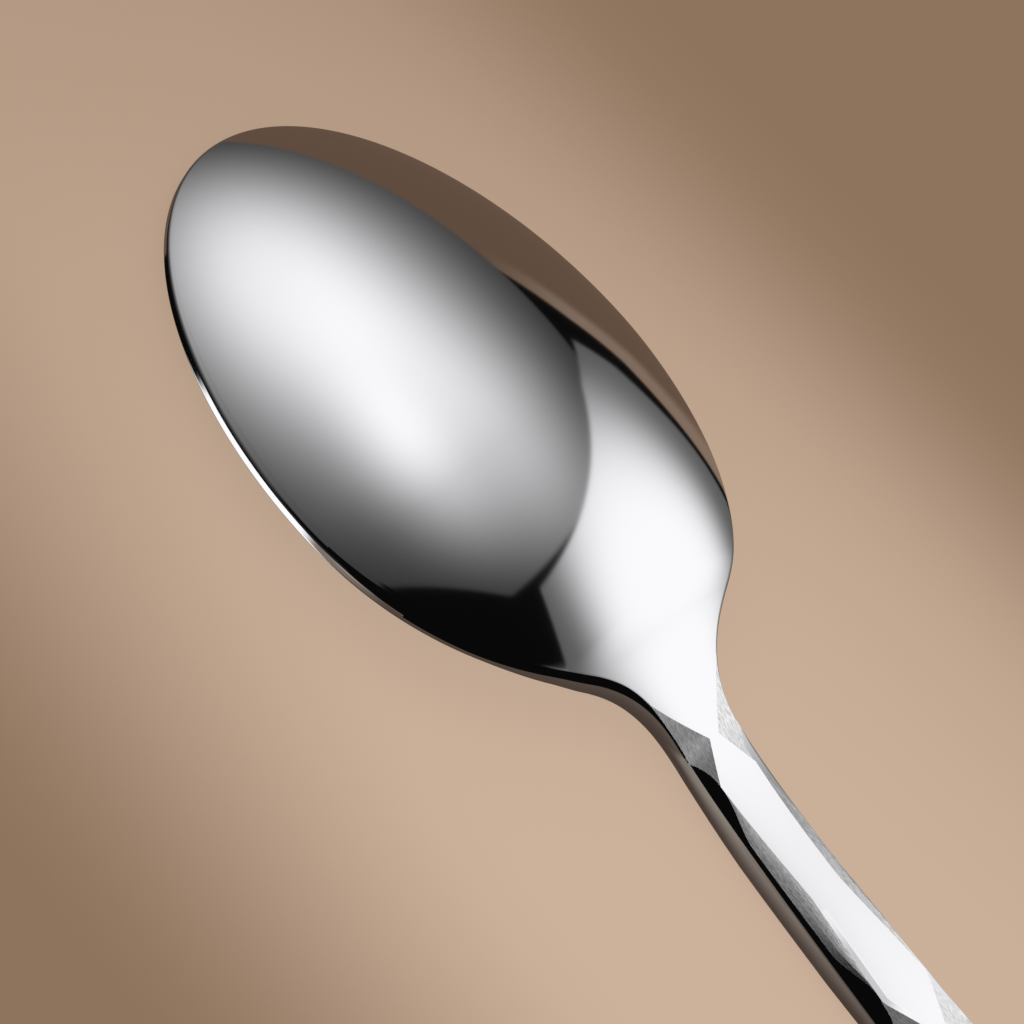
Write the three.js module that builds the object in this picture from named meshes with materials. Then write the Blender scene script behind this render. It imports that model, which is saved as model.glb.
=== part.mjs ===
import * as THREE from 'three';
import { mergeVertices } from 'three/addons/utils/BufferGeometryUtils.js';

// A stainless steel teaspoon that lies face down, in millimetres: a pressed bowl with a faceted handle welded to it.
// It is drawn in its own frame first. X runs to the tip from the widest place of the bowl, Z points out of the
// back, and the upper edge of the bowl's rim lies at Z = 0. At the end the spoon is laid on the table.

// Bowl
const bowlWidth = 30.7;
const tipReach = 23.7;
const shoulderReach = 20.5;
const bowlHeight = 7.3;
const bottomThickness = 1.1;
const rimThickness = 0.85;
const rimLand = 0.5;

// Shoulder and neck: the rim runs level, lifts a little at the shoulder and drops into the neck
const shoulderTurn = THREE.MathUtils.degToRad(64);
const shoulderPull = 3;
const neckReach = 25.1;
const neckWidth = 5.3;
const neckPull = 3.3;
const rimLevelReach = 4;
const rimLevelPull = 5;
const crestReach = 16.8;
const crestLift = 0.5;
const crestRisePull = 3.3;
const crestFallPull = 2;
const neckDrop = 3.2;
const neckAngle = THREE.MathUtils.degToRad(17);
const neckDropPull = 3.5;
const neckWall = 1.7;
const wallGrowStart = 13;
const wallGrowEnd = 22;
const hollowFadeStart = 15;
const hollowFadeEnd = 21.5;
const neckRelief = 0.46;
const neckBevel = 0.95;
const neckKiteLength = 3.45;

// Handle: it bends out of the neck into a straight run, and arches off the table towards its end
const handleLength = 91.4;
const runReach = 21;
const runDrop = 3.2;
const runAngle = THREE.MathUtils.degToRad(6);
const runLength = 32;
const neckRunPull = 5;
const runPull = 9;
const tailDrop = 1.45;
const tailAngle = THREE.MathUtils.degToRad(2);
const tailPull = 13;
const waistWidth = 4.9;
const waistReach = 15;
const swellWidth = 9.2;
const swellReach = 45;
const endWidth = 10.4;
const endRound = 4.5;
const endFlat = 3.6;
const endRelief = 0.4;
const handleWall = 1.5;
const handleRelief = 1.1;
const handleBevel = 1.55;
const landRadius = 16;

// Facets: at every pinch the land on the back narrows almost to a point between two ground kites
const pinchPitch = 23;
const pinchLand = 0.86;
const kiteNarrowing = 0.47;
const kiteEdgeShare = 0.4;
const leastLandShare = 0.3;

// Front of the handle
const frontRelief = 0.35;
const frontBevel = 0.8;
const chamferHeight = 0.65;
const chamferWidth = 0.25;
const chamferReach = 7;
const restFlatDepth = 0.12;

// Steps of the lofts
const tipSteps = 18;
const shoulderSteps = 13;
const filletSteps = 10;
const neckKiteSteps = 5;
const crownSteps = 12;
const handleStep = 2.5;
const endSteps = 6;

const bowlHalf = bowlWidth / 2;
const neckHalf = neckWidth / 2;
const pinchHalf = pinchLand / 2;
const shoulderX = -shoulderReach * Math.sin(shoulderTurn);
const jointX = -neckReach;
const endX = jointX - handleLength;
const endRoundX = endX + endRound;
const kiteStartX = jointX + neckKiteLength;

const lerp = THREE.MathUtils.lerp;
const clamp = THREE.MathUtils.clamp;

// 0 at from and 1 at to, eased at both ends
function ease(x, from, to) {
  return THREE.MathUtils.smoothstep((x - from) / (to - from), 0, 1);
}

// Values from one number up to another, without the last
function steps(from, to, count) {
  return Array.from({ length: count }, (_, i) => lerp(from, to, i / count));
}

function heading(angle, length) {
  return new THREE.Vector2(-Math.cos(angle), -Math.sin(angle)).multiplyScalar(length);
}

// Adds a cubic curve that leaves one point along a pull and arrives at the next along another
function bend(path, from, leaving, to, arriving) {
  const first = from.clone().add(leaving);
  const second = to.clone().sub(arriving);
  path.bezierCurveTo(first.x, first.y, second.x, second.y, to.x, to.y);
}

// Plan of one side: elliptic tip and shoulder, a fillet into the neck, the waist and swell of the handle
function makePlan() {
  const shoulder = new THREE.Vector2(shoulderX, bowlHalf * Math.cos(shoulderTurn));
  const joint = new THREE.Vector2(jointX, neckHalf);
  const falling = new THREE.Vector2(-shoulderReach * Math.cos(shoulderTurn), -bowlHalf * Math.sin(shoulderTurn));
  const plan = new THREE.Path();
  plan.absellipse(0, 0, tipReach, bowlHalf, 0, Math.PI / 2);
  plan.absellipse(0, 0, shoulderReach, bowlHalf, Math.PI / 2, Math.PI / 2 + shoulderTurn);
  bend(plan, shoulder, falling.setLength(shoulderPull), joint, heading(0, neckPull));
  plan.bezierCurveTo(jointX - waistReach, waistWidth / 2, jointX - swellReach, swellWidth / 2, endX, endWidth / 2);
  return plan;
}

// Side view of the upper edge of the rim and of the handle's wall
function makeSide() {
  const level = new THREE.Vector2(-rimLevelReach, 0);
  const crest = new THREE.Vector2(-crestReach, crestLift);
  const joint = new THREE.Vector2(jointX, -neckDrop);
  const runStart = new THREE.Vector2(jointX - runReach, -neckDrop - runDrop);
  const runEnd = runStart.clone().add(heading(runAngle, runLength));
  const end = new THREE.Vector2(endX, runEnd.y - tailDrop);
  const side = new THREE.Path();
  side.moveTo(tipReach, 0);
  side.lineTo(level.x, level.y);
  bend(side, level, heading(0, rimLevelPull), crest, heading(0, crestRisePull));
  bend(side, crest, heading(0, crestFallPull), joint, heading(neckAngle, neckDropPull));
  bend(side, joint, heading(neckAngle, neckRunPull), runStart, heading(runAngle, runPull));
  side.lineTo(runEnd.x, runEnd.y);
  bend(side, runEnd, heading(runAngle, tailPull), end, heading(-tailAngle, tailPull));
  return side;
}

// Height at x of a curve that runs towards -X
function heightAt(curve, x) {
  let before = 0;
  let after = 1;
  for (let i = 0; i < 48; i++) {
    const middle = (before + after) / 2;
    if (curve.getPoint(middle).x > x) before = middle;
    else after = middle;
  }
  return curve.getPoint(after).y;
}

const plan = makePlan();
const side = makeSide();
const edgeAt = (x) => heightAt(side, x);

// 0 where the handle's rounded end begins, 1 at its end
function endShare(x) {
  return clamp((endRoundX - x) / endRound, 0, 1);
}

function halfWidthAt(x) {
  const flat = endFlat / endWidth;
  return heightAt(plan, x) * Math.sqrt(1 - (1 - flat * flat) * endShare(x) ** 2);
}

function wallAt(x) {
  if (x > jointX) return lerp(rimThickness, neckWall, ease(x, -wallGrowStart, -wallGrowEnd));
  return lerp(neckWall, handleWall, ease(x, jointX, jointX - pinchPitch));
}

// The chamfer along the lower corner of the wall is widest at a pinch: 1 there, 0 a little way off
function chamferAt(x) {
  const nearest = Math.min(...pinches.map((pinch) => Math.abs(x - pinch.x)));
  return Math.max(1 - nearest / chamferReach, 0);
}

// The land on the front follows the one on the back, and leaves room for a bevel beside it
function frontLandAt(half, land) {
  return Math.min(land, half - chamferWidth - frontBevel);
}

// Height of a domed section at y, over the line between its two edges
function dome(half, below, y) {
  return Math.sqrt(below * below + Math.max(half * half - y * y, 0)) - below;
}

// How far under the rim the centre of a dome lies
function domeCentre(half, height) {
  return (half * half - height * height) / (2 * height);
}

const backCentre = domeCentre(bowlHalf, bowlHeight);
const hollowHalf = bowlHalf - rimLand;
const hollowCentre = domeCentre(hollowHalf, bowlHeight - bottomThickness + rimThickness);
const neckCrown = neckRelief / dome(neckHalf, backCentre, pinchHalf);

// Plan half width of the hollow, an ellipse one rim land inside the bowl's outline
function hollowAt(x) {
  const reach = (x > 0 ? tipReach : shoulderReach) - rimLand;
  return hollowHalf * Math.sqrt(Math.max(1 - (x / reach) ** 2, 0));
}

// Right half of the bowl's section, from the middle of the back round the wall to the middle of the front
function bowlSection(x) {
  const edge = edgeAt(x);
  const half = halfWidthAt(x);
  const floor = edge - wallAt(x);
  const chamfer = chamferAt(x);
  const crown = lerp(1, neckCrown, ease(x, shoulderX, jointX));
  const kite = clamp((x - jointX) / neckKiteLength, 0, 1);
  const land = kite < 1 ? lerp(pinchHalf, halfWidthAt(kiteStartX), kite) : half;
  const hollow = 1 - ease(x, -hollowFadeStart, -hollowFadeEnd);
  const inner = lerp(frontLandAt(half, land), hollowAt(x), hollow);
  const points = [];
  for (let i = 0; i <= crownSteps; i++) {
    const y = land * Math.sin((Math.PI / 2) * (i / crownSteps));
    points.push([y, edge + crown * dome(half, backCentre, y)]);
  }
  points.push([half, edge]);
  points.push([half, floor + chamferHeight * chamfer]);
  points.push([half - chamferWidth * chamfer, floor]);
  for (let i = crownSteps; i >= 0; i--) {
    const y = inner * Math.sin((Math.PI / 2) * (i / crownSteps));
    points.push([y, floor - frontRelief * (1 - hollow) + hollow * dome(inner, hollowCentre, y)]);
  }
  return points;
}

// Height of the facets over the wall's edge, lower at the neck and at the rounded end
function reliefAt(x) {
  const full = lerp(neckRelief, handleRelief, ease(x, jointX, jointX - pinchPitch));
  return full - (handleRelief - endRelief) * (1 - Math.sqrt(1 - endShare(x) ** 2));
}

// Half width of the flat land on the back, away from the pinches
function fullLandAt(x) {
  const bevel = lerp(neckBevel, handleBevel, ease(x, jointX, jointX - pinchPitch));
  const half = halfWidthAt(x);
  return Math.max(half - bevel, half * leastLandShare);
}

function makePinches() {
  const count = Math.floor(handleLength / pinchPitch + 0.5);
  return Array.from({ length: count }, (_, i) => {
    const x = jointX - i * pinchPitch;
    const corner = (fullLandAt(x) - pinchHalf) / kiteNarrowing;
    return { x, corner, edge: corner * kiteEdgeShare };
  });
}

const pinches = makePinches();

// Right half of the handle's section, in the same order as the bowl's
function handleSection(x, restAt) {
  const edge = edgeAt(x);
  const half = halfWidthAt(x);
  const floor = edge - wallAt(x);
  const chamfer = chamferAt(x);
  const relief = reliefAt(x);
  const fullLand = fullLandAt(x);
  const land = Math.min(fullLand, ...pinches.map((pinch) => pinchHalf + kiteNarrowing * Math.abs(x - pinch.x)));
  const shares = pinches.map(({ x: at, corner, edge: near }) => (Math.abs(x - at) - near) / (corner - near));
  const share = clamp(Math.min(...shares), 0, 1);
  const front = Math.max(floor - frontRelief, restAt(x));
  return [
    [0, edge + relief + (land * land) / (2 * landRadius)],
    [land, edge + relief],
    [lerp(half, fullLand, share), edge + relief * share],
    [half, edge],
    [half, floor + chamferHeight * chamfer],
    [half - chamferWidth * chamfer, floor],
    [frontLandAt(half, land), front],
    [0, front],
  ];
}

// Closed solid through half sections at given places along X, from the tip's side to the handle's end
function loft(places, halves) {
  const loops = halves.map((half) => {
    const other = half.slice(1, -1).reverse();
    return [...half, ...other.map(([y, z]) => [-y, z])];
  });
  const count = loops[0].length;
  const positions = loops.flatMap((loop, i) => loop.flatMap(([y, z]) => [places[i], y, z]));
  const index = [];
  const addFace = (a, b, c) => index.push(a, b, c);
  const around = (ring, j) => ring * count + (j % count);
  for (let ring = 0; ring + 1 < loops.length; ring++) {
    for (let j = 0; j < count; j++) {
      addFace(around(ring, j), around(ring, j + 1), around(ring + 1, j));
      addFace(around(ring, j + 1), around(ring + 1, j + 1), around(ring + 1, j));
    }
  }
  const last = loops.length - 1;
  const caps = [0, last].map((ring) => {
    const heights = loops[ring].map(([, z]) => z);
    positions.push(places[ring], 0, (Math.max(...heights) + Math.min(...heights)) / 2);
    return positions.length / 3 - 1;
  });
  for (let j = 0; j < count; j++) {
    addFace(caps[0], around(0, j + 1), around(0, j));
    addFace(caps[1], around(last, j), around(last, j + 1));
  }
  return solid(positions, index);
}

// Joins equal corners and leaves out the faces that have closed up to a line
function solid(positions, index) {
  const geometry = new THREE.BufferGeometry();
  geometry.setAttribute('position', new THREE.Float32BufferAttribute(positions, 3));
  geometry.setIndex(index);
  const merged = mergeVertices(geometry, 1e-4);
  const corners = Array.from(merged.index.array);
  const open = [];
  for (let i = 0; i < corners.length; i += 3) {
    const [a, b, c] = corners.slice(i, i + 3);
    if (a !== b && b !== c && c !== a) open.push(a, b, c);
  }
  merged.setIndex(open);
  merged.computeVertexNormals();
  return merged;
}

function bowlPlaces() {
  const quarter = Math.PI / 2;
  return [
    ...steps(0, quarter, tipSteps).map((angle) => tipReach * Math.cos(angle)),
    ...steps(0, shoulderTurn, shoulderSteps).map((angle) => -shoulderReach * Math.sin(angle)),
    ...steps(shoulderX, kiteStartX, filletSteps),
    ...steps(kiteStartX, jointX, neckKiteSteps),
    jointX,
  ];
}

// Stations of the handle: every corner of every kite, steps between them, and finer ones round the end
function handlePlaces() {
  const marks = pinches.flatMap(({ x, corner, edge }) => [x + corner, x + edge, x, x - edge, x - corner]);
  const kept = [...new Set([...marks, endRoundX])].filter((x) => x <= jointX && x >= endRoundX);
  kept.sort((a, b) => b - a);
  const places = [];
  for (let i = 0; i + 1 < kept.length; i++) {
    places.push(...steps(kept[i], kept[i + 1], Math.ceil((kept[i] - kept[i + 1]) / handleStep)));
  }
  const turns = steps(0, Math.PI / 2, endSteps);
  places.push(...turns.map((angle) => endRoundX - endRound * Math.sin(angle)), endX);
  return places;
}

// The table touches the tip's rim and a shallow flat on the handle's front
function makeRest(places) {
  const toe = edgeAt(tipReach) - wallAt(tipReach);
  const frontAt = (x) => edgeAt(x) - wallAt(x) - frontRelief;
  const slopes = places.map((x) => (toe - frontAt(x)) / (tipReach - x));
  const touch = places[slopes.indexOf(Math.max(...slopes))];
  const slope = (toe - frontAt(touch) - restFlatDepth) / (tipReach - touch);
  return { slope, heightAt: (x) => toe - slope * (tipReach - x) };
}

function steel(roughness) {
  return new THREE.MeshStandardMaterial({ color: 0xc9cacc, metalness: 1, roughness });
}

const alongHandle = handlePlaces();
const alongBowl = bowlPlaces();
const rest = makeRest(alongHandle);

const bowl = new THREE.Mesh(loft(alongBowl, alongBowl.map(bowlSection)), steel(0.08));
bowl.name = 'bowl';
const handleHalves = alongHandle.map((x) => handleSection(x, rest.heightAt));
const handle = new THREE.Mesh(loft(alongHandle, handleHalves), steel(0.1));
handle.name = 'handle';

// Laid on the table, with the middle of its footprint at the origin
const teaspoon = new THREE.Group();
teaspoon.add(bowl, handle);
teaspoon.rotation.y = Math.atan(rest.slope);
const box = new THREE.Box3().setFromObject(teaspoon, true);
teaspoon.position.set(-(box.min.x + box.max.x) / 2, 0, -box.min.z);

export default teaspoon;
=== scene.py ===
import bpy
import numpy as np
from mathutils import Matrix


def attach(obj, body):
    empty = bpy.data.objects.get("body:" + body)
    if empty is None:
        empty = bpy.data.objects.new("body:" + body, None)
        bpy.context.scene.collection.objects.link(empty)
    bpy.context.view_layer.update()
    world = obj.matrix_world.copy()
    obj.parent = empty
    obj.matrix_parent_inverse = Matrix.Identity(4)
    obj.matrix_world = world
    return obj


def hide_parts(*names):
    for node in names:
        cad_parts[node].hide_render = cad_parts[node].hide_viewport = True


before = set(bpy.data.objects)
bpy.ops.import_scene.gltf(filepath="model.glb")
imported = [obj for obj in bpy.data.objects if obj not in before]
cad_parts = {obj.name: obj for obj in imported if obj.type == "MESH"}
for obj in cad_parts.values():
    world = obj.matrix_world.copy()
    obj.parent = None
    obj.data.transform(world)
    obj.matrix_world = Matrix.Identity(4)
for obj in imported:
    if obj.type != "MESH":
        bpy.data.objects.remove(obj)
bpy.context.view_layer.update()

# The bowl, with its heel and the first half of the neck: stainless steel pressed between dies to a thin
# egg-shaped shell, with its rim rounded over on a belt, its back mirror polished and its kites ground last.
# Sizes are in millimetres, and X runs from the bowl's widest place towards its tip.
bowl_half = 15.35
bowl_height = 7.3
bowl_gauge = 1.1
tip_reach = 23.7
shoulder_reach = 20.5
shoulder_turn = np.radians(64)
shoulder_pull = 3.0
neck_half = 2.65
neck_pull = 3.3
joint_x = -25.1
pitch = 23.0
pinch_count = 4
pinch_x = joint_x - pitch * np.arange(pinch_count)
pinch_half = 0.43
handle_end_x = -116.5
handle_end_half = 5.2


def bezier(p0, p1, p2, p3, t):
    """Points on a cubic curve: its four corners weighted by the terms of ((1 - t) + t) cubed."""
    t = np.asarray(t, float)[:, None]
    p0, p1, p2, p3 = (np.array(p, float) for p in (p0, p1, p2, p3))
    return (1 - t) ** 3 * p0 + 3 * (1 - t) ** 2 * t * p1 + 3 * (1 - t) * t ** 2 * p2 + t ** 3 * p3


def heading(degrees, length):
    """A step of that length towards the handle, falling by an angle."""
    return -length * np.array((np.cos(np.radians(degrees)), np.sin(np.radians(degrees))))


def ease(x, start, end):
    """0 at start and 1 at end, level at both: three squares less two cubes of the share of the way."""
    share = np.clip((x - start) / (end - start), 0, 1)
    return share * share * (3 - 2 * share)


def blend(a, b, share):
    """The value at a share of the way from a to b."""
    return a + (b - a) * share


def shares(steps):
    """Even shares of the way from 0 to 1, without the 0."""
    return np.linspace(0, 1, steps + 1)[1:]


shoulder_x = -shoulder_reach * np.sin(shoulder_turn)
shoulder_point = np.array((shoulder_x, bowl_half * np.cos(shoulder_turn)))
shoulder_fall = np.array((-shoulder_reach * np.cos(shoulder_turn), -bowl_half * np.sin(shoulder_turn)))
shoulder_fall *= shoulder_pull / np.linalg.norm(shoulder_fall)
neck_corners = np.array((
    shoulder_point,
    shoulder_point + shoulder_fall,
    (joint_x + neck_pull, neck_half),
    (joint_x, neck_half),
))
handle_corners = np.array((
    (joint_x, neck_half),
    (joint_x - 15, 2.45),
    (joint_x - 45, 4.6),
    (handle_end_x, handle_end_half),
))
fine = np.linspace(0, 1, 3000)
neck_line = bezier(*neck_corners, fine)[::-1]
handle_line = bezier(*handle_corners, fine)[::-1]


def half_width(x):
    """Half width of the plan at x: parts of two ellipses as far as the shoulder, then two cubic curves."""
    reach = np.where(x > 0, tip_reach, shoulder_reach)
    oval = bowl_half * np.sqrt(np.maximum(1 - (x / reach) ** 2, 0))
    neck = np.interp(x, neck_line[:, 0], neck_line[:, 1])
    handle = np.interp(x, handle_line[:, 0], handle_line[:, 1])
    return np.where(x > shoulder_x, oval, np.where(x > joint_x, neck, handle))


# The side view: a level rim, a crest at the shoulder, a fall into the neck, a straight run and a tail.
neck_fall = 17
run_fall = 6
rim_end = np.array((-4.0, 0.0))
crest = np.array((-16.8, 0.5))
joint = np.array((joint_x, -3.2))
run_start = np.array((joint_x - 21, -6.4))
run_end = run_start + heading(run_fall, 32)
tail_end = np.array((handle_end_x, run_end[1] - 1.45))
side_line = np.vstack([
    ((tip_reach, 0), rim_end),
    bezier(rim_end, rim_end + heading(0, 5), crest - heading(0, 3.3), crest, fine),
    bezier(crest, crest + heading(0, 2), joint - heading(neck_fall, 3.5), joint, fine),
    bezier(joint, joint + heading(neck_fall, 5), run_start - heading(run_fall, 9), run_start, fine),
    bezier(run_end, run_end + heading(run_fall, 13), tail_end - heading(-2, 13), tail_end, fine),
])[::-1]


def edge_height(x):
    """Height of the upper edge of the rim and wall at x, along the curves of the spoon's side view."""
    return np.interp(x, side_line[:, 0], side_line[:, 1])


def edge_slope(x):
    """Rise of the side view's edge towards the tip at x: the height gained over a tenth of a millimetre."""
    return (edge_height(x + 0.05) - edge_height(x - 0.05)) / 0.1


heel_x = -15.0
neck_x = -22.0
rim_wall = 0.85
neck_wall = 1.7
tail_wall = 1.5


def wall_height(x):
    """Height of the wall at x: a thin rim that eases into a taller neck, which thins along the handle."""
    neck = blend(rim_wall, neck_wall, ease(x, heel_x + 2, neck_x))
    return np.where(x > joint_x, neck, blend(neck_wall, tail_wall, ease(x, joint_x, joint_x - pitch)))


def dome(half, centre, y):
    """Height of a round section at y over the line between its edges, its centre that far below the line."""
    return np.sqrt(centre ** 2 + np.maximum(half ** 2 - y ** 2, 0)) - centre


dome_centre = (bowl_half ** 2 - bowl_height ** 2) / (2 * bowl_height)
neck_relief = 0.46
neck_crown = neck_relief / dome(neck_half, dome_centre, pinch_half)


def back_height(x, y):
    """Height of the bowl's back over the plan: its edge, and a round section that flattens at the neck."""
    crown = blend(1, neck_crown, ease(x, shoulder_x, joint_x))
    return edge_height(x) + crown * dome(half_width(x), dome_centre, y)


def plan_side(tip, shoulder, neck):
    """Plan points round one side, from the tip to the joint, and the directions that face away from the
    spoon: the points of two ellipses and a cubic curve, and their slopes turned by a quarter."""
    t = neck[:, None]
    first, second, third = np.diff(neck_corners, axis=0)
    points = np.vstack([
        np.c_[tip_reach * np.cos(tip), bowl_half * np.sin(tip)],
        np.c_[-shoulder_reach * np.sin(shoulder), bowl_half * np.cos(shoulder)],
        bezier(*neck_corners, neck),
    ])
    along = np.vstack([
        np.c_[-tip_reach * np.sin(tip), bowl_half * np.cos(tip)],
        np.c_[-shoulder_reach * np.cos(shoulder), -bowl_half * np.sin(shoulder)],
        (1 - t) ** 2 * first + 2 * (1 - t) * t * second + t ** 2 * third,
    ])
    outward = np.c_[along[:, 1], -along[:, 0]]
    return points, outward / np.linalg.norm(outward, axis=1)[:, None]


outline, outward = plan_side(
    np.linspace(0, np.pi / 2, 130, endpoint=False),
    np.linspace(0, shoulder_turn, 90, endpoint=False),
    np.linspace(0, 1, 101),
)


def rim(inset, height):
    """Points set in from the plan's outline by an inset, straight towards the spoon, at a height."""
    x = outline[:, :1] - outward[:, :1] * inset
    y = outline[:, 1:] - outward[:, 1:] * inset
    return np.stack([x + 0 * height, y + 0 * height, height + 0 * x], axis=-1)


def corner(a, b, c, share):
    """A rounded corner: the two ends and the sharp corner between them, weighted by the terms of a square."""
    return (1 - share) ** 2 * a + 2 * share * (1 - share) * b + share ** 2 * c


# The rim's round is small at the tip, wider along the side and at the shoulder, and small again at the neck.
plan_x = outline[:, :1]
edge_round = 0.16
for radius, start, end in ((0.38, 0, -9), (0.26, -12, -17), (0.09, -19.5, -23.5)):
    edge_round = blend(edge_round, radius, ease(plan_x, start, end))
neckness = ease(plan_x, heel_x, neck_x)
wall_bulge = 0.06
bulge = wall_bulge * neckness
edge = edge_height(plan_x)
floor = edge - wall_height(plan_x)

# The back is cut at the neck by two flat kites, which run from the pinch's corner to the wall.
crown_steps = 48
kite_steps = 8
kite_start = joint_x + 3.9
neck_kite_spread = 0.772
crown_share = 0.985
inset_x = plan_x - outward[:, :1] * (edge_round + bulge)
inset_y = outline[:, 1:] - outward[:, 1:] * (edge_round + bulge)
kite_edge = pinch_half + neck_kite_spread * (inset_x - joint_x)
crown_half = crown_share * inset_y
land = np.where(inset_x < kite_start, np.minimum(crown_half, kite_edge), crown_half)
crown_y = land * np.sin(np.linspace(0, np.pi / 2, crown_steps + 1))
crown_x = inset_x + 0 * crown_y
crown = np.stack([crown_x, crown_y, back_height(crown_x, crown_y)], axis=-1)
kite_y = blend(land, inset_y, shares(kite_steps))
kite_span = np.maximum(half_width(inset_x) - bulge - land, 1e-6)
kite_top = back_height(inset_x, land)
kite_lean = (kite_top - edge_height(inset_x)) / kite_span
kite_z = kite_top - kite_lean * (kite_y - land)
kite = np.stack([inset_x + 0 * kite_y, kite_y, kite_z], axis=-1)

# Round the rim: its upper edge, its wall, and a lower edge that widens to a chamfer at the pinch.
round_steps = 13
wall_steps = 8
low_steps = 18
rim_low_round = 0.3
neck_low_round = 0.1
chamfer_run = 7.0
chamfer_height = 0.65
chamfer_width = 0.25
chamfer = np.maximum(1 - (plan_x - joint_x) / chamfer_run, 0)
low_round = blend(rim_low_round, neck_low_round, neckness)
low_height = blend(low_round, chamfer_height, chamfer)
low_width = blend(low_round, chamfer_width, chamfer)
upper = rim(
    corner(edge_round + bulge, bulge, bulge, shares(round_steps)),
    corner(kite_z[:, -1:], edge, edge - edge_round, shares(round_steps)),
)
wall = rim(
    bulge * (2 * shares(wall_steps) - 1) ** 2,
    blend(edge - edge_round, floor + low_height, shares(wall_steps)),
)
low_inset = blend(bulge, bulge + low_width / 2, chamfer)
low_level = blend(floor, floor + low_height / 2, chamfer)
lower = rim(
    corner(bulge, low_inset, bulge + low_width, shares(low_steps)),
    corner(floor + low_height, low_level, floor, shares(low_steps)),
)

# The hollow follows the back, one gauge of metal inside it, and closes to a flat front at the neck.
hollow_inset = 0.5
hollow_steps = 32
front_bevel = 1.05
front_drop = 0.35
hollow_x = plan_x - hollow_inset * outward[:, :1]
hollow_reach = outline[:, 1:] - hollow_inset * outward[:, 1:]
hollow_share = 1 - ease(hollow_x, heel_x, neck_x + 0.5)
front_land = np.minimum(land, outline[:, 1:] - front_bevel)
inner = blend(np.minimum(front_land, hollow_reach), hollow_reach, hollow_share)
hollow_half = bowl_half - hollow_inset
hollow_height = bowl_height - bowl_gauge + rim_wall
hollow_centre = (hollow_half ** 2 - hollow_height ** 2) / (2 * hollow_height)
hollow_y = inner * np.cos(np.linspace(0, np.pi / 2, hollow_steps + 1))
oval_reach = np.where(hollow_x > 0, tip_reach, shoulder_reach) - hollow_inset
oval_half = hollow_half * np.sqrt(np.maximum(1 - (hollow_x / oval_reach) ** 2, 0))
hollow_width = np.maximum(oval_half, inner)
hollow_rise = dome(hollow_width, hollow_centre, hollow_y) - dome(hollow_width, hollow_centre, inner)
hollow_floor = edge_height(hollow_x) - wall_height(hollow_x) - front_drop * (1 - hollow_share)
hollow_z = hollow_floor + hollow_share * hollow_rise
hollow = np.stack([hollow_x + 0 * hollow_y, hollow_y, hollow_z], axis=-1)

# The spoon rests on the tip of its rim and on the handle, so its own frame is tilted a little on the table.
rest_tilt = np.radians(5.987)
rest_shift = np.array((46.8272, 0, 3.3173))


def tilted(points):
    """Points or directions of the spoon's own frame, turned about Y by the angle that it rests at."""
    x, y, z = np.moveaxis(points, -1, 0)
    return np.stack([
        x * np.cos(rest_tilt) + z * np.sin(rest_tilt),
        y,
        z * np.cos(rest_tilt) - x * np.sin(rest_tilt),
    ], axis=-1)


def on_table(points):
    """Points in millimetres of the spoon's own frame, tilted and moved to the table, in metres."""
    return (tilted(points) + rest_shift) / 1000


fan_lean = 0.1
fan_run = 4.0
fan_fade = 6.0
fan_end = 11.0


def sweep_normals(x, y, sizes, face_sweep, ring_x, sweeps):
    """Normals at the faces' corners, and zero where the mesh keeps its own. They lean along by the edge's
    slope and fan out a little from the nearest pinch, and lean across by the sweep's lean on that side."""
    from_pinch = x - pinch_x[np.abs(x[:, None] - pinch_x).argmin(axis=1)]
    fan = np.clip(from_pinch / fan_run, -1, 1) * (1 - ease(np.abs(from_pinch), fan_fade, fan_end))
    along = edge_slope(x) + fan_lean * fan
    first_corner = np.r_[0, np.cumsum(sizes)[:-1]]
    corner_side = np.repeat(np.sign(np.add.reduceat(y, first_corner)), sizes)
    corner_sweep = np.repeat(face_sweep, sizes)
    normals = np.zeros((len(x), 3))
    for number, (_, _, _, _, leans) in enumerate(sweeps, 1):
        for side, lean in zip((1, -1), leans):
            if lean is not None:
                across = side * np.interp(-x, -ring_x, np.broadcast_to(lean, ring_x.shape))
                leaning = tilted(np.c_[-along, across, np.ones(len(x))])
                leaning /= np.linalg.norm(leaning, axis=1)[:, None]
                here = (corner_sweep == number) & (corner_side == side)
                normals[here] = leaning[here]
    return normals


# Finishes by number.
polished = 0
ground = 1
merges_per_mm = 20000
sharp_angle = np.radians(7)
grain_span = 150


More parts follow.
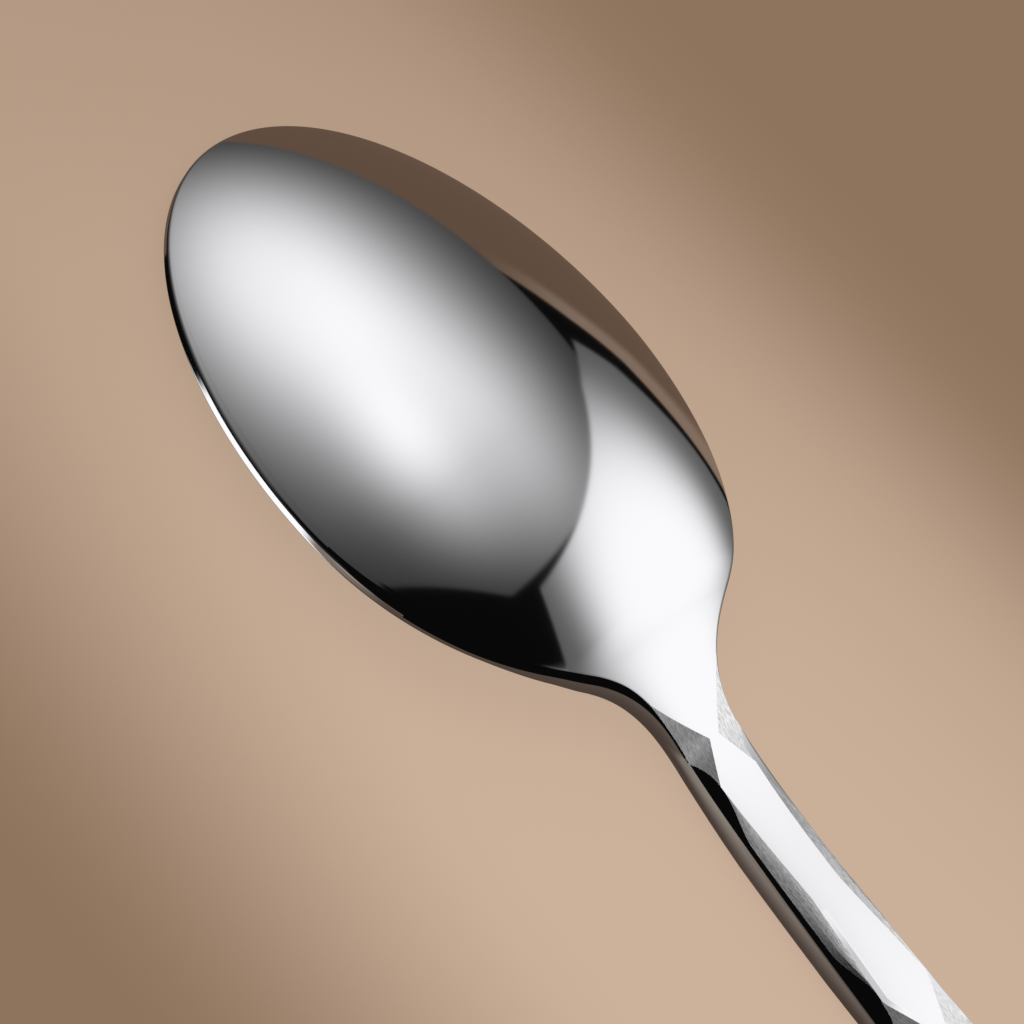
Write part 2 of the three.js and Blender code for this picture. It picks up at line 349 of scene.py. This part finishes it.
def skin(name, half_rings, sweeps, caps):
    """A closed mesh through half rings and their mirror images. Points that coincide are joined, and faces
    that have closed up to a line are left out. A sweep is a mask of rings, a first and an end column, the
    finish of its faces, and how far they lean across on the sides of +Y and -Y, so that they shine as one
    ground facet. Where the lean is None they keep the mesh's own normals."""
    left = half_rings[:, -2:0:-1] * (1, -1, 1)
    rings = np.concatenate([half_rings, left], axis=1)
    count = rings.shape[1]
    order = np.arange(rings.shape[0] * count).reshape(-1, count)
    beside = np.roll(order, -1, axis=1)
    quads = np.stack([order[:-1], beside[:-1], beside[1:], order[1:]], axis=-1).reshape(-1, 4)
    column = np.minimum(np.arange(count), count - 1 - np.arange(count))
    swept_by = np.zeros((rings.shape[0] - 1, count), int)
    for number, (ring_mask, first_column, end_column, _, _) in enumerate(sweeps, 1):
        in_columns = (column >= first_column) & (column < end_column)
        swept_by[ring_mask[:-1, None] & in_columns] = number
    swept_by = swept_by.reshape(-1)
    flat = rings.reshape(-1, 3)
    rounded = np.round(flat * merges_per_mm).astype(np.int64)
    _, kept, joined = np.unique(rounded, axis=0, return_index=True, return_inverse=True)
    joined = joined.reshape(-1)
    points = flat[kept]
    quads = joined[quads]
    same = quads == np.roll(quads, -1, axis=1)
    whole = same.sum(axis=1) == 0
    pinched = same.sum(axis=1) == 1
    triangles = quads[pinched][~same[pinched]].reshape(-1, 3)
    ends = [joined[order[0]][::-1], joined[order[-1]]]
    ends = [end[end != np.roll(end, 1)].tolist() for end in ends]
    faces = quads[whole].tolist() + triangles.tolist() + [ends[i] for i in caps]
    mesh = bpy.data.meshes.new(name)
    mesh.from_pydata(on_table(points).tolist(), [], faces)
    face_sweep = np.r_[swept_by[whole], swept_by[pinched], np.zeros(len(caps), int)]
    finish = np.array([polished] + [sweep[3] for sweep in sweeps])
    mesh.polygons.foreach_set("use_smooth", np.ones(len(faces), bool))
    mesh.polygons.foreach_set("material_index", finish[face_sweep])
    mesh.set_sharp_from_angle(angle=sharp_angle)
    corners = np.empty(len(mesh.loops), int)
    mesh.loops.foreach_get("vertex_index", corners)
    x, y, _ = points[corners].T
    grain = mesh.uv_layers.new(name="grain")
    grain.data.foreach_set("uv", np.c_[y / grain_span + 0.5, x / grain_span + 0.8].reshape(-1))
    sizes = np.array([len(face) for face in faces])
    normals = sweep_normals(x, y, sizes, face_sweep, half_rings[:, 0, 0], sweeps)
    mesh.normals_split_custom_set(normals.tolist())
    mesh.update()
    piece = bpy.data.objects.new(name, mesh)
    bpy.context.scene.collection.objects.link(piece)
    return piece


def kite_shine(lean):
    """How far the kites' shine leans on the near and far sides: twice the kites' own lean, and nine tenths
    of it, each up to a limit."""
    return np.minimum(2 * lean[:, 0], 0.55), np.minimum(0.9 * lean[:, 0], 0.25)


# On the near side, +Y, the rim's round shines as one from the shoulder to the neck. It starts in four steps.
rim_column = crown_steps + kite_steps
near_edge_lean = 1.75
bowl_sweeps = [(inset_x[:, 0] < kite_start, crown_steps, rim_column, ground, kite_shine(kite_lean))]
for start_x, first, end in ((-2, 0, 4), (-4, 4, 7), (-6, 7, 10), (-8, 10, round_steps)):
    past_start = plan_x[:, 0] < start_x
    bowl_sweeps.append((past_start, rim_column + first, rim_column + end, polished, (near_edge_lean, None)))
bowl_rings = np.concatenate([crown, kite, upper, wall, lower, hollow], axis=1)
bowl = skin("spoon_bowl", bowl_rings, bowl_sweeps, [1])


def colour(code):
    """Linear red, green, blue and alpha of an sRGB hex colour."""
    parts = np.array([int(code[i:i + 2], 16) for i in (1, 3, 5)]) / 255
    linear = np.where(parts <= 0.04045, parts / 12.92, ((parts + 0.055) / 1.055) ** 2.4)
    return (*linear.tolist(), 1.0)


def add_node(tree, kind, settings=(), inputs=()):
    """Adds a node, sets its properties, and gives each input a value or a link from another node's socket."""
    node = tree.nodes.new(kind)
    for key, value in dict(settings).items():
        setattr(node, key, value)
    for key, value in dict(inputs).items():
        if isinstance(value, bpy.types.NodeSocket):
            tree.links.new(value, node.inputs[key])
        else:
            node.inputs[key].default_value = value
    return node


# Stainless steel, buffed with a fine compound: a clear mirror with a trace of haze.
polished_steel = bpy.data.materials.new("polished_stainless_steel")
polished_steel.use_nodes = True
polished_shader = polished_steel.node_tree.nodes["Principled BSDF"]
polished_shader.inputs["Base Color"].default_value = colour("#e4e4e6")
polished_shader.inputs["Metallic"].default_value = 1
polished_shader.inputs["Roughness"].default_value = 0.07

# Stainless steel, left from a fine grinding wheel: short straight scratches along the spoon that spread the
# light across it. Real ones are too fine to show in the picture, so these are as coarse as they need to be.
scratch_spacing = 0.05
scratch_length = 0.4
scratch_scale = 1000 / np.array((scratch_length, scratch_spacing, scratch_length))
ground_steel = bpy.data.materials.new("ground_stainless_steel")
ground_steel.use_nodes = True
tree = ground_steel.node_tree
place = add_node(tree, "ShaderNodeTexCoord").outputs["Object"]
stretch = add_node(tree, "ShaderNodeMapping", {}, {"Vector": place, "Scale": scratch_scale})
scratch = add_node(tree, "ShaderNodeTexNoise", {}, {"Vector": stretch.outputs[0], "Scale": 1, "Detail": 2})
scratch_tone = add_node(tree, "ShaderNodeValToRGB", {}, {0: scratch.outputs[0]})
for stop, at, tone in zip(scratch_tone.color_ramp.elements, (0.34, 0.66), ("#c4c4c6", "#fefefe")):
    stop.position = at
    stop.color = colour(tone)
sideways = add_node(tree, "ShaderNodeTangent", {"direction_type": "UV_MAP", "uv_map": "grain"})
ground_shader = tree.nodes["Principled BSDF"]
ground_shader.inputs["Metallic"].default_value = 1
ground_shader.inputs["Roughness"].default_value = 0.34
ground_shader.inputs["Anisotropic"].default_value = 0.85
tree.links.new(scratch_tone.outputs[0], ground_shader.inputs["Base Color"])
tree.links.new(sideways.outputs[0], ground_shader.inputs["Tangent"])

bowl.data.materials.append(polished_steel)
bowl.data.materials.append(ground_steel)
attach(bowl, "root")
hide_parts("bowl")

# The handle: a solid stainless steel bar, forged and ground to long facets, and butt welded to the bowl at
# the neck. Every 23 mm its land is pinched almost to a point between two hollow-ground kites.
end_round = 4.5
end_flat_half = 1.8
end_round_x = handle_end_x + end_round


def end_share(x):
    """0 where the handle's rounded end begins and 1 at its end."""
    return np.clip((end_round_x - x) / end_round, 0, 1)


def bar_half(x):
    """Half width of the handle, drawn in at its end along a quarter of an ellipse to a short flat."""
    return half_width(x) * np.sqrt(1 - (1 - (end_flat_half / handle_end_half) ** 2) * end_share(x) ** 2)


bar_edge_round = 0.07


def shoulder_half(x):
    """Half width between the handle's upper edges, where the facets end and the wall begins."""
    return bar_half(x) - wall_bulge - 0.6 * bar_edge_round


# The stations of the sections: an even row, the corners of the kites, and closer ones at the rounded end.
station_step = 0.35
end_steps = 30
kite_spread = 0.48
facet_wide = 0.8
kite_reach = (shoulder_half(pinch_x) - facet_wide - pinch_half) / kite_spread
kite_near = 0.17 * kite_reach
marks = np.concatenate([pinch_x + s * r for s in (-1, 1) for r in (kite_reach, kite_near)] + [pinch_x])
stations = np.concatenate([
    marks[(marks <= joint_x) & (marks > end_round_x)],
    np.arange(joint_x, end_round_x, -station_step),
    end_round_x - end_round * np.sin(np.linspace(0, np.pi / 2, end_steps + 1)),
])
stations = np.unique(np.round(stations, 4))[::-1][:, None]


def bar(y, z):
    """Points of the handle's sections, with their stations."""
    y, z = np.broadcast_arrays(y, z)
    return np.stack([np.broadcast_to(stations, y.shape), y, z], axis=-1)


tail_relief = 1.1
end_fall = 0.7
edge_lip = 0.02
half = bar_half(stations)
side = half - wall_bulge
shoulder = shoulder_half(stations)
edge = edge_height(stations)
floor = edge - wall_height(stations)
relief = blend(neck_relief, tail_relief, ease(stations, joint_x, joint_x - pitch))
relief = relief - end_fall * (1 - np.sqrt(1 - end_share(stations) ** 2))
nearest = np.abs(stations - pinch_x).argmin(axis=1)
away = np.abs(stations - pinch_x).min(axis=1, keepdims=True)
reach = kite_reach[nearest][:, None]
near = kite_near[nearest][:, None]
in_kite = away < reach - 1e-4

# Between the pinches the land draws in a little, and a broad shallow facet, a steeper one and a narrow edge
# facet step down from it. They all start at the kites' outer corners.
land_inset = 1.3
ridge_inset = 0.54
facet_narrow = 0.22
land_radius = 16
least_land = 0.3
opening_run = 4.2
broad_slope = 0.28
foot_depth = 0.57
bay_share = np.clip((away - reach) / (pitch / 2 - reach), 0, 1)
opening = ease(away - reach, 0, opening_run)
land = np.minimum(shoulder - blend(facet_wide, land_inset, bay_share), pinch_half + kite_spread * away)
land = np.maximum(land, least_land * shoulder * (away > reach))
top = edge + relief + (pinch_half ** 2 - land ** 2) / (2 * land_radius)
kite_slope = (top - edge - edge_lip) / (shoulder - land)
kite_foot = blend(shoulder, land, np.clip((away - near) / (reach - near), 0, 1))
bay_ridge = shoulder - blend(shoulder - land, ridge_inset, opening)
bay_foot = shoulder - blend(shoulder - land, facet_narrow, opening)
ridge = np.where(in_kite, (land + kite_foot) / 2, bay_ridge)
foot = np.where(in_kite, kite_foot, bay_foot)
ridge_drop = np.where(in_kite, kite_slope, broad_slope) * (ridge - land)
foot_drop = np.where(in_kite, kite_slope * (kite_foot - land), foot_depth * (top - edge) * opening)

land_steps = 10
strip_steps = 7
facet_steps = 10
land_y = land * np.linspace(0, 1, land_steps + 1)
land_top = bar(land_y, top + (land ** 2 - land_y ** 2) / (2 * land_radius))
strip_share = shares(strip_steps)
broad = bar(blend(land, ridge, strip_share), top - blend(0, ridge_drop, strip_share))
steep = bar(blend(ridge, foot, strip_share), top - blend(ridge_drop, foot_drop, strip_share))
facet_share = shares(facet_steps)
facet = bar(blend(foot, shoulder, facet_share), blend(top - foot_drop, edge + edge_lip, facet_share))
upper = bar(
    corner(shoulder, side, side, shares(round_steps)),
    corner(edge + edge_lip, edge, edge - bar_edge_round, shares(round_steps)),
)
chamfer = np.maximum(1 - away / chamfer_run, 0)
low_height = blend(neck_low_round, chamfer_height, chamfer)
low_width = blend(neck_low_round, chamfer_width, chamfer)
wall = bar(
    half - wall_bulge * (2 * shares(wall_steps) - 1) ** 2,
    blend(edge - bar_edge_round, floor + low_height, shares(wall_steps)),
)
lower = bar(
    corner(side, side - chamfer * low_width / 2, side - low_width, shares(low_steps)),
    corner(floor + low_height, floor + chamfer * low_height / 2, floor, shares(low_steps)),
)
table_line = -rim_wall - np.tan(rest_tilt) * (tip_reach - stations)
front = np.maximum(floor - front_drop, table_line)
front_half = np.minimum(land, half - front_bevel)
front_line = bar(front_half * np.array((1, 0.5, 0)), front)

# On the near side the land's edge leans more before each pinch, and the broad facet leans more and more
# across its width.
broad_at = land_steps
steep_at = broad_at + strip_steps
facet_at = steep_at + strip_steps
edge_at = facet_at + facet_steps
wall_at = edge_at + round_steps
kites = in_kite[:, 0]
past_joint = stations[:, 0] < joint_x
before_pinch = ((stations > pinch_x[nearest][:, None]) & (bay_share < 0.9) & (away > 0.5 * reach))[:, 0]
land_edge_least = 0.1
land_edge_most = 0.29
land_edge_lean = blend(land_edge_most, land_edge_least, ease(bay_share, 0.4, 0.9))
land_edge_lean = blend(land_edge_least, land_edge_lean, ease(away, 0.5 * reach, 0.95 * reach))[:, 0]
far_broad_lean = 0.48
far_edge_lean = 0.5
handle_sweeps = [
    (kites, broad_at, facet_at, ground, kite_shine(kite_slope)),
    (before_pinch, broad_at - 3, broad_at - 2, polished, (0.5 * land_edge_lean + 0.035, None)),
    (before_pinch, broad_at - 2, broad_at, polished, (land_edge_lean, None)),
    (~kites, broad_at, broad_at + 2, ground, (0.25, far_broad_lean)),
    (~kites, broad_at + 2, broad_at + 4, ground, (0.34, far_broad_lean)),
    (~kites, broad_at + 4, steep_at, ground, (0.45, far_broad_lean)),
    (~kites, steep_at, facet_at, ground, (None, None)),
    (past_joint, facet_at, edge_at - 2, polished, (near_edge_lean, 0.38)),
    (past_joint, edge_at - 2, edge_at, polished, (near_edge_lean, far_edge_lean)),
    (past_joint, edge_at, wall_at, polished, (4 * near_edge_lean, far_edge_lean)),
]
handle_rings = np.concatenate([land_top, broad, steep, facet, upper, wall, lower, front_line], axis=1)
handle = skin("spoon_handle", handle_rings, handle_sweeps, [0, 1])
handle.data.materials.append(polished_steel)
handle.data.materials.append(ground_steel)
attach(handle, "root")
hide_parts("handle")

# The floor: matt beige card, in metres. Two soft shadows of things outside the picture are painted into its
# colour, to the left and right of the spoon, with painted shade that dims it further along X, and they fade
# out further away. Seen by the camera, most of its tone glows as painted, so that it stays pale, and the rest
# takes the spoon's real shadow.
card_size = 6
camera_glow_share = 0.8
right_slant = 0.157
right_shadow_y = -0.05
right_light_y = 0.0
left_shadow_y = 0.046
left_light_y = 0.0145
dim_start_x = 0.02
dim_end_x = 0.095
dim_light = 0.54
shadows_middle = (0.041, -0.003, 0)
shadows_fade = 0.062
shadows_end = 0.1
bpy.ops.mesh.primitive_plane_add(size=card_size)
card = bpy.context.object
card.name = "floor_card"
card_paint = bpy.data.materials.new("beige_card")
card_paint.use_nodes = True
tree = card_paint.node_tree
tree.nodes.clear()
place = add_node(tree, "ShaderNodeTexCoord").outputs["Object"]
parts = add_node(tree, "ShaderNodeSeparateXYZ", {}, {0: place})
# Painted shadows: one to the right of the spoon along a slanted line and one to the left, painted shade that
# dims the card along X, all fading out away from the spoon.
slanted = add_node(tree, "ShaderNodeMath", {"operation": "MULTIPLY_ADD"}, {
    0: parts.outputs["X"], 1: -right_slant, 2: parts.outputs["Y"]})
right_share = add_node(tree, "ShaderNodeMapRange", {}, {
    "Value": slanted.outputs[0], "From Min": right_shadow_y, "From Max": right_light_y})
right_light = add_node(tree, "ShaderNodeValToRGB", {}, {0: right_share.outputs[0]})
right_light.color_ramp.interpolation = "B_SPLINE"
for at, brightness in ((0.08, 0.0), (0.2, 0.1), (0.34, 0.52), (0.46, 0.74), (0.64, 0.86)):
    stop = right_light.color_ramp.elements.new(at)
    stop.color = (brightness, brightness, brightness, 1)
left_light = add_node(tree, "ShaderNodeMapRange", {"interpolation_type": "SMOOTHSTEP"}, {
    "Value": parts.outputs["Y"], "From Min": left_shadow_y, "From Max": left_light_y})
far_light = add_node(tree, "ShaderNodeMapRange", {"interpolation_type": "SMOOTHSTEP"}, {
    "Value": parts.outputs["X"], "From Min": dim_start_x, "From Max": dim_end_x,
    "To Min": 1.0, "To Max": dim_light})
spread = add_node(tree, "ShaderNodeVectorMath", {"operation": "DISTANCE"}, {0: place, 1: shadows_middle})
outside = add_node(tree, "ShaderNodeMapRange", {"interpolation_type": "SMOOTHSTEP"}, {
    "Value": spread.outputs["Value"], "From Min": shadows_fade, "From Max": shadows_end})
light_share = right_light
for operation, light in (("MULTIPLY", left_light), ("MULTIPLY", far_light), ("MAXIMUM", outside)):
    light_share = add_node(tree, "ShaderNodeMath", {"operation": operation}, {
        0: light_share.outputs[0], 1: light.outputs[0]})
# The two colours of a Mix node are its inputs 6 and 7: here the painted shadows' dark colour and the card's
# own pale tone.
card_tone_with_painted_shadows = add_node(tree, "ShaderNodeMix", {"data_type": "RGBA"}, {
    0: light_share.outputs[0], 6: colour("#91765f"), 7: colour("#d2b7a0")})
matt = add_node(tree, "ShaderNodeBsdfDiffuse", {}, {"Color": card_tone_with_painted_shadows.outputs[2]})
camera_glow = add_node(tree, "ShaderNodeEmission", {}, {"Color": card_tone_with_painted_shadows.outputs[2]})
ray = add_node(tree, "ShaderNodeLightPath")
seen = add_node(tree, "ShaderNodeMath", {"operation": "MULTIPLY"}, {
    0: ray.outputs["Is Camera Ray"], 1: camera_glow_share})
both = add_node(tree, "ShaderNodeMixShader", {}, {
    0: seen.outputs[0], 1: matt.outputs[0], 2: camera_glow.outputs[0]})
add_node(tree, "ShaderNodeOutputMaterial", {}, {"Surface": both.outputs[0]})
card.data.materials.append(card_paint)
card.visible_glossy = False

# The light tent that the polished steel mirrors: two large soft panels that lean together over the spoon,
# with a dark gap at their fold, black and grey cloth beside them, and brown card behind and below. Only
# reflections see it.
tent_radius = 0.15
tent_turns = 96
tent_pole = 0.02
tent_strength = 1.27
side_turn = np.linspace(0, 2 * np.pi, tent_turns, endpoint=False)
rise_turn = np.linspace(tent_pole, np.pi - tent_pole, tent_turns // 2 + 1)[:, None]
tent_points = tent_radius * np.stack([
    np.sin(rise_turn) * np.cos(side_turn),
    np.sin(rise_turn) * np.sin(side_turn),
    np.cos(rise_turn) + 0 * side_turn,
], axis=-1)
order = np.arange(rise_turn.size * tent_turns).reshape(-1, tent_turns)
beside = np.roll(order, -1, axis=1)
tent_faces = np.stack([order[:-1], order[1:], beside[1:], beside[:-1]], axis=-1).reshape(-1, 4).tolist()
tent_ends = [order[0].tolist(), order[-1][::-1].tolist()]
tent_mesh = bpy.data.meshes.new("light_tent")
tent_mesh.from_pydata(tent_points.reshape(-1, 3).tolist(), [], tent_faces + tent_ends)
tent = bpy.data.objects.new("light_tent", tent_mesh)
tent.location = rest_shift / 1000
tent.rotation_euler = (0, rest_tilt, 0)
bpy.context.scene.collection.objects.link(tent)
tent.visible_camera = False
tent.visible_diffuse = False
tent.visible_shadow = False
tent.visible_transmission = False
tent_light = bpy.data.materials.new("tent_panels")
tent_light.use_nodes = True
tent_light.cycles.emission_sampling = "NONE"
tree = tent_light.node_tree
tree.nodes.clear()
place = add_node(tree, "ShaderNodeTexCoord").outputs["Object"]
toward = add_node(tree, "ShaderNodeVectorMath", {"operation": "NORMALIZE"}, {0: place}).outputs[0]


def lay(under, over, *edges):
    """One tone laid over another inside all of some edges. Each edge has an axis, a level and a softness: the
    dot product of the direction and the axis is eased from 0 to 1 over the level. Their shares multiply."""
    share = 1.0
    for axis, level, soft in edges:
        lean = add_node(tree, "ShaderNodeVectorMath", {"operation": "DOT_PRODUCT"}, {0: toward, 1: axis})
        eased = add_node(tree, "ShaderNodeMapRange", {"interpolation_type": "SMOOTHSTEP"}, {
            "Value": lean.outputs["Value"], "From Min": level - soft, "From Max": level + soft})
        product = add_node(tree, "ShaderNodeMath", {"operation": "MULTIPLY"}, {0: share, 1: eased.outputs[0]})
        share = product.outputs[0]
    laid = add_node(tree, "ShaderNodeMix", {"data_type": "RGBA"}, {0: share, 6: under, 7: over})
    return laid.outputs[2]


def panel_light(across, up, power, gain, least, spots=()):
    """Brightness of a panel: its least, and a gain times e to the minus a power of the squared distance from
    its middle. Each round spot adds a gain times e to its sharpness times (its axis's dot product less 1)."""
    leans = []
    for axis in (across, up):
        lean = add_node(tree, "ShaderNodeVectorMath", {"operation": "DOT_PRODUCT"}, {0: toward, 1: axis})
        leans.append(lean.outputs["Value"])
    on_panel = add_node(tree, "ShaderNodeCombineXYZ", {}, {0: leans[0], 1: leans[1]})
    distance = add_node(tree, "ShaderNodeVectorMath", {"operation": "LENGTH"}, {0: on_panel.outputs[0]})
    fall = add_node(tree, "ShaderNodeMath", {"operation": "POWER"}, {
        0: distance.outputs["Value"], 1: 2 * power})
    glow = add_node(tree, "ShaderNodeMath", {"operation": "POWER"}, {0: np.exp(-1), 1: fall.outputs[0]})
    light = add_node(tree, "ShaderNodeMath", {"operation": "MULTIPLY_ADD"}, {
        0: glow.outputs[0], 1: gain, 2: least})
    for axis, sharpness, spot_gain in spots:
        lean = add_node(tree, "ShaderNodeVectorMath", {"operation": "DOT_PRODUCT"}, {0: toward, 1: axis})
        fall = add_node(tree, "ShaderNodeMath", {"operation": "MULTIPLY_ADD"}, {
            0: lean.outputs["Value"], 1: sharpness, 2: -sharpness})
        glow = add_node(tree, "ShaderNodeMath", {"operation": "EXPONENT"}, {0: fall.outputs[0]})
        light = add_node(tree, "ShaderNodeMath", {"operation": "MULTIPLY_ADD"}, {
            0: glow.outputs[0], 1: spot_gain, 2: light.outputs[0]})
    return light.outputs[0]


# Brown card behind the spoon, lighter along the part of its edge towards the handle.
black_cloth = colour("#080808")
behind = np.array((0.6165, -0.7181, -0.323))
behind_card = lay(colour("#5f4c3e"), colour("#7e6b5c"), (-behind, -0.787, 0.022), ((-1, 0, 0), -0.27, 0.12))
tent_tone = lay(black_cloth, behind_card, (behind, 0.7288, 0.007))

# Brown card below, which gets lighter as it rises and more so towards the tip.
height = add_node(tree, "ShaderNodeSeparateXYZ", {}, {0: toward}).outputs["Z"]
low_share = add_node(tree, "ShaderNodeMapRange", {}, {
    "Value": height, "From Min": -0.95, "From Max": -0.48}).outputs[0]
low_curve = add_node(tree, "ShaderNodeMath", {"operation": "POWER"}, {0: low_share, 1: 1.6}).outputs[0]
low_top = lay(colour("#5a5048"), colour("#b8ada2"), ((1, 0, 0), -0.12, 0.12))
low_card = add_node(tree, "ShaderNodeMix", {"data_type": "RGBA"}, {
    0: low_curve, 6: colour("#473c34"), 7: low_top}).outputs[2]
tent_tone = lay(tent_tone, low_card, ((-0.4, 0.15, -0.9), 0.545, 0.05))

# A narrow white reflector low on the near side, and grey cloth past the end of the handle.
tent_tone = lay(
    tent_tone, colour("#ffffff"),
    ((1, 0, 0), 0.08, 0.06),
    ((-1, 0, 0), -0.56, 0.03),
    ((0, 1, 0), 0.15, 0.05),
    ((0.923, 0, -0.385), 0.4, 0.04),
)
tent_tone = lay(tent_tone, colour("#6e6862"), ((-0.95, 0.25, 0.18), 0.955, 0.03))

# The panel over the bowl, then the one over the handle, and a patch of black cloth on the near side.
bowl_panel = panel_light(
    (0.462, -1.504, -0.279), (1.251, 0.625, -1.298), 1.34, 0.83, 0.0,
    [((0.108, 0.325, 0.94), 22.6, 0.495), ((0.091, -0.207, 0.974), 8.75, 0.553)],
)
tent_tone = lay(
    tent_tone, bowl_panel,
    ((0.8846, 0.226, 0.4079), -0.0199, 0.011),
    ((0.8418, -0.5395, 0.018), -0.6011, 0.009),
    ((0.2837, 0.5184, 0.8068), -0.0975, 0.014),
)
handle_panel = panel_light((-1.179, 1.239, -0.025), (-0.391, -0.396, -1.231), 3.28, 0.87, 0.098)
tent_tone = lay(
    tent_tone, handle_panel,
    ((-0.8647, -0.33, -0.3786), 0.0703, 0.011),
    ((-0.5033, -0.7565, 0.4176), 0.4549, 0.009),
    ((-0.8261, 0.485, 0.2871), -0.4482, 0.011),
)
tent_tone = lay(tent_tone, black_cloth, ((0.04, 0.993, 0.1), 0.968, 0.012))
shine = add_node(tree, "ShaderNodeEmission", {}, {"Color": tent_tone, "Strength": tent_strength})
add_node(tree, "ShaderNodeOutputMaterial", {}, {"Surface": shine.outputs[0]})
tent_mesh.materials.append(tent_light)

# The room: even light from all round, as from white walls, and a beige wall behind the floor where the camera
# looks past it.
room_strength = 0.9
world = bpy.data.worlds.new("room")
bpy.context.scene.world = world
world.use_nodes = True
tree = world.node_tree
tree.nodes.clear()
even = add_node(tree, "ShaderNodeBackground", {}, {"Color": colour("#f4f2ef"), "Strength": room_strength})
wall_tone = add_node(tree, "ShaderNodeBackground", {}, {"Color": colour("#ceb39c")})
ray = add_node(tree, "ShaderNodeLightPath")
room = add_node(tree, "ShaderNodeMixShader", {}, {
    0: ray.outputs["Is Camera Ray"], 1: even.outputs[0], 2: wall_tone.outputs[0]})
add_node(tree, "ShaderNodeOutputWorld", {}, {"Surface": room.outputs[0]})

# The camera: a long lens, high on the near side of the spoon, with the picture turned so that the handle runs
# down to the right. Its place and directions are in the spoon's own frame.
camera_distance = 450
aim_point = np.array((-1.0, 0.0, 0.0))
towards_camera = np.array((-0.1736, 0.6289, 0.7579))
picture_right = np.array((-0.6601, -0.6454, 0.3844))
picture_up = np.array((0.7309, -0.4335, 0.5272))
picture_pixels = 1024
focal_pixels = 7200
aim_pixel = np.array((475.46, 429.29))
sensor_width = 36
camera = bpy.data.objects.new("camera", bpy.data.cameras.new("camera"))
camera.data.sensor_width = sensor_width
camera.data.lens = sensor_width * focal_pixels / picture_pixels
camera.data.clip_start = 0.01
camera.data.clip_end = 20
aim_right, aim_down = aim_pixel - picture_pixels / 2
back = focal_pixels * towards_camera + aim_right * picture_right - aim_down * picture_up
back /= np.linalg.norm(back)
right = picture_right - back * (picture_right @ back)
right /= np.linalg.norm(right)
up = np.cross(back, right)
matrix = np.eye(4)
matrix[:3, :3] = tilted(np.stack([right, up, back])).T
matrix[:3, 3] = on_table(aim_point + camera_distance * towards_camera)
bpy.context.scene.collection.objects.link(camera)
camera.matrix_world = matrix.T.tolist()
bpy.context.scene.camera = camera
bpy.context.scene.view_settings.view_transform = "Standard"
